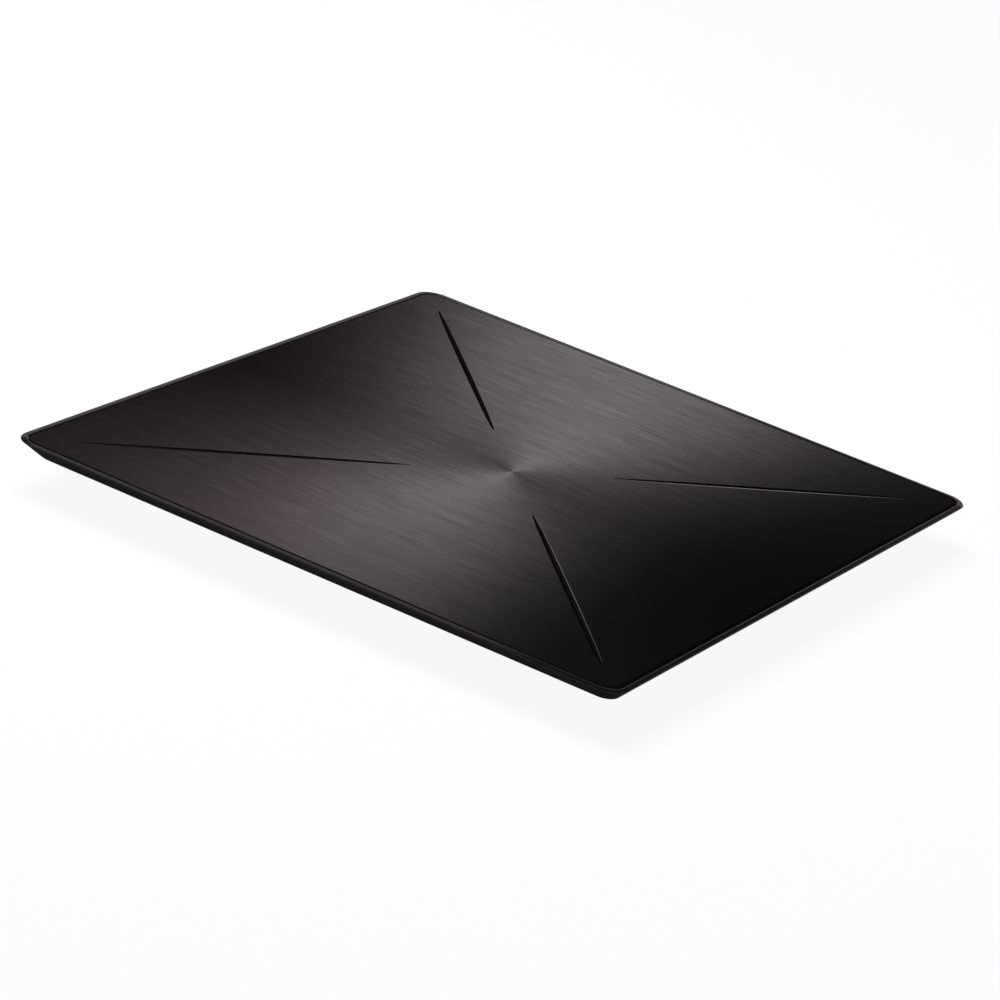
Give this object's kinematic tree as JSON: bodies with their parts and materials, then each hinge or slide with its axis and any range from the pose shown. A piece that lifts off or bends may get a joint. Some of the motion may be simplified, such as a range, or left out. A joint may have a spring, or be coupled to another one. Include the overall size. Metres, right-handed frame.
{
  "type": "flat indoor tv antenna",
  "caption": "Flat indoor TV antenna: thin dark brushed face with tapered diagonal grooves in a slim frame, on a rear pod with a coax jack.",
  "frame": {"origin": "middle of the footprint, on the surface that the feet stand on", "axes": "+X along the face's long side, +Y towards the edge that is up when it hangs, +Z out of the face"},
  "size_m": [0.336, 0.283, 0.021],
  "materials": {
    "brushed_face": "dark metallised plastic, brushed in straight strokes",
    "adhesive": "thin double-sided tape",
    "frame_plastic": "smooth black moulding, satin",
    "cover_plastic": "black moulding with a fine matte grain",
    "sheet_metal": "stamped sheet, mill finish",
    "circuit_board": "green solder mask on glass-fibre board",
    "chip_ceramic": "brown ceramic chip with tinned ends",
    "ferrite": "sintered dark grey ferrite",
    "enamelled_wire": "enamelled copper wire",
    "plated_jack": "nickel plate on brass",
    "insulator": "white moulded insulator",
    "contact_brass": "bare brass",
    "screw_steel": "zinc-plated steel",
    "foot_rubber": "black rubber"
  },
  "bodies": {
    "root": {"face_plate": "brushed_face", "face_tape": "adhesive", "front_frame": "frame_plastic", "rear_cover": "cover_plastic", "left_radiator": "sheet_metal", "right_radiator": "sheet_metal", "matching_board": "circuit_board", "chip_capacitors": "chip_ceramic", "balun_core": "ferrite", "balun_winding": "enamelled_wire", "coax_jack": "plated_jack", "jack_insulator": "insulator", "jack_contact": "contact_brass", "board_screws": "screw_steel", "cover_screws": "screw_steel", "lower_left_foot": "foot_rubber", "upper_left_foot": "foot_rubber", "lower_right_foot": "foot_rubber", "upper_right_foot": "foot_rubber"}
  },
  "joints": []
}
